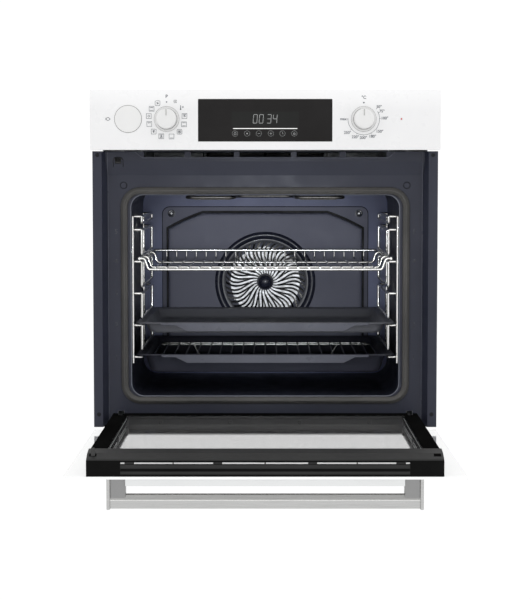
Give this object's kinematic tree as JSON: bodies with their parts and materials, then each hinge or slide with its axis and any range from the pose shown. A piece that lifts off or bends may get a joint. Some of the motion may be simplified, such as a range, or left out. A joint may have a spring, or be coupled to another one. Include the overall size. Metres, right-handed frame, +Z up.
{
  "type": "wall oven",
  "caption": "Built-in electric oven with a drop-down glass door, push-in knobs, touch clock, water drawer, wire racks, shelf and trays, in a steel casing.",
  "frame": {"origin": "mid-width, on the plane of the cabinet's front edge (back of the flange), at the height of the shelf that the casing stands on", "axes": "+X to the right seen from the front, +Y into the cabinet, +Z up; the door is stored open, lying towards -Y"},
  "size_m": [0.594, 1.003, 0.635],
  "materials": {
    "white_enamel": "gloss",
    "dark_enamel": "semi-gloss vitreous enamel",
    "tray_enamel": "semi-gloss vitreous enamel",
    "chrome_wire": "polished",
    "galvanised": "zinc coated sheet",
    "steel": "satin",
    "brushed_handle": "brushed along its length",
    "door_black": "satin black powder coat",
    "black_plastic": "matt",
    "display_glass": "gloss",
    "white_plastic": "satin gloss",
    "ivory_plastic": "matt moulded",
    "circuit_board": "satin solder mask",
    "gasket_rubber": "matt",
    "hose_rubber": "matt",
    "white_glass": "gloss, printed white behind",
    "clear_glass": "gloss",
    "red_lens": "gloss",
    "mineral_wool": "fibrous",
    "ceramic": "glazed ceramic",
    "bulb_glass": "gloss"
  },
  "bodies": {
    "oven": {"control_panel": "white_enamel", "panel_carrier": "galvanised", "display_window": "display_glass", "display_module": "circuit_board", "function_bezel": "steel", "temperature_bezel": "steel", "function_switch": "ivory_plastic", "thermostat": "ivory_plastic", "pilot_light": "red_lens", "water_guide": "white_plastic", "water_hose": "hose_rubber", "front_frame": "dark_enamel", "frame_plugs": "dark_enamel", "door_gasket": "gasket_rubber", "door_switch": "black_plastic", "hinge_receivers": "galvanised", "hinge_arms": "steel", "cavity_liner": "dark_enamel", "fan_cover": "dark_enamel", "fan_cover_screws": "steel", "convection_motor": "steel", "ring_element": "steel", "upper_element": "steel", "lower_element": "steel", "lamp_socket": "ceramic", "lamp_bulb": "bulb_glass", "lamp_lens": "clear_glass", "side_rack_left": "chrome_wire", "side_rack_right": "chrome_wire", "insulation": "mineral_wool", "side_panels": "galvanised", "top_cover": "galvanised", "base_panel": "galvanised", "rear_panel": "galvanised", "motor_cover": "galvanised", "cooling_duct": "galvanised", "cooling_motor": "steel", "terminal_block": "black_plastic"},
    "door": {"outer_glass": "white_glass", "middle_glass": "clear_glass", "inner_glass": "clear_glass", "door_sides": "door_black", "door_bottom_profile": "door_black", "door_top_trim": "door_black", "door_hinges": "steel", "hinge_springs": "steel", "handle": "brushed_handle", "door_fittings": "black_plastic"},
    "function_shaft": {"function_spindle": "steel"},
    "function_cap": {"function_knob": "white_plastic"},
    "temperature_shaft": {"temperature_spindle": "steel"},
    "temperature_cap": {"temperature_knob": "white_plastic"},
    "water_tray": {"water_drawer": "white_plastic"},
    "shelf": {"wire_shelf": "chrome_wire"},
    "upper_tray": {"shallow_tray": "tray_enamel"},
    "lower_tray": {"deep_tray": "tray_enamel"},
    "grid": {"tray_grid": "chrome_wire"},
    "convection_fan": {"convection_impeller": "steel", "convection_shaft": "steel"},
    "cooling_fan": {"cooling_rotor": "black_plastic"}
  },
  "joints": [
    {"name": "door_hinge", "type": "hinge", "parent": "oven", "child": "door", "pos_m": [0, 0.002, 0.03], "axis": [1, 0, 0], "range_deg": [-90, 0]},
    {"name": "function_knob_turn", "type": "hinge", "parent": "oven", "child": "function_shaft", "pos_m": [-0.1667, 0, 0.546], "axis": [0, 1, 0], "continuous": true},
    {"name": "function_knob_pop", "type": "slide", "parent": "function_shaft", "child": "function_cap", "axis": [0, 1, 0], "range_m": [0, 0.016], "stiffness_N_per_m": 300, "springref_m": -0.002},
    {"name": "temperature_knob_turn", "type": "hinge", "parent": "oven", "child": "temperature_shaft", "pos_m": [0.1667, 0, 0.546], "axis": [0, 1, 0], "range_deg": [0, 290]},
    {"name": "temperature_knob_pop", "type": "slide", "parent": "temperature_shaft", "child": "temperature_cap", "axis": [0, 1, 0], "range_m": [0, 0.016], "stiffness_N_per_m": 300, "springref_m": -0.002},
    {"name": "water_drawer_slide", "type": "slide", "parent": "oven", "child": "water_tray", "axis": [0, -1, 0], "range_m": [0, 0.05]},
    {"name": "wire_shelf_slide", "type": "slide", "parent": "oven", "child": "shelf", "axis": [0, -1, 0], "range_m": [0, 0.22]},
    {"name": "shallow_tray_slide", "type": "slide", "parent": "oven", "child": "upper_tray", "axis": [0, -1, 0], "range_m": [0, 0.22]},
    {"name": "deep_tray_slide", "type": "slide", "parent": "oven", "child": "lower_tray", "axis": [0, -1, 0], "range_m": [0, 0.22]},
    {"name": "tray_grid_lift", "type": "slide", "parent": "lower_tray", "child": "grid", "axis": [0, 0, 1], "range_m": [0, 0.02]},
    {"name": "convection_fan_spin", "type": "hinge", "parent": "oven", "child": "convection_fan", "pos_m": [0, 0.45, 0.2435], "axis": [0, 1, 0], "continuous": true},
    {"name": "cooling_fan_spin", "type": "hinge", "parent": "oven", "child": "cooling_fan", "pos_m": [0, 0.372, 0.508], "axis": [1, 0, 0], "continuous": true}
  ]
}
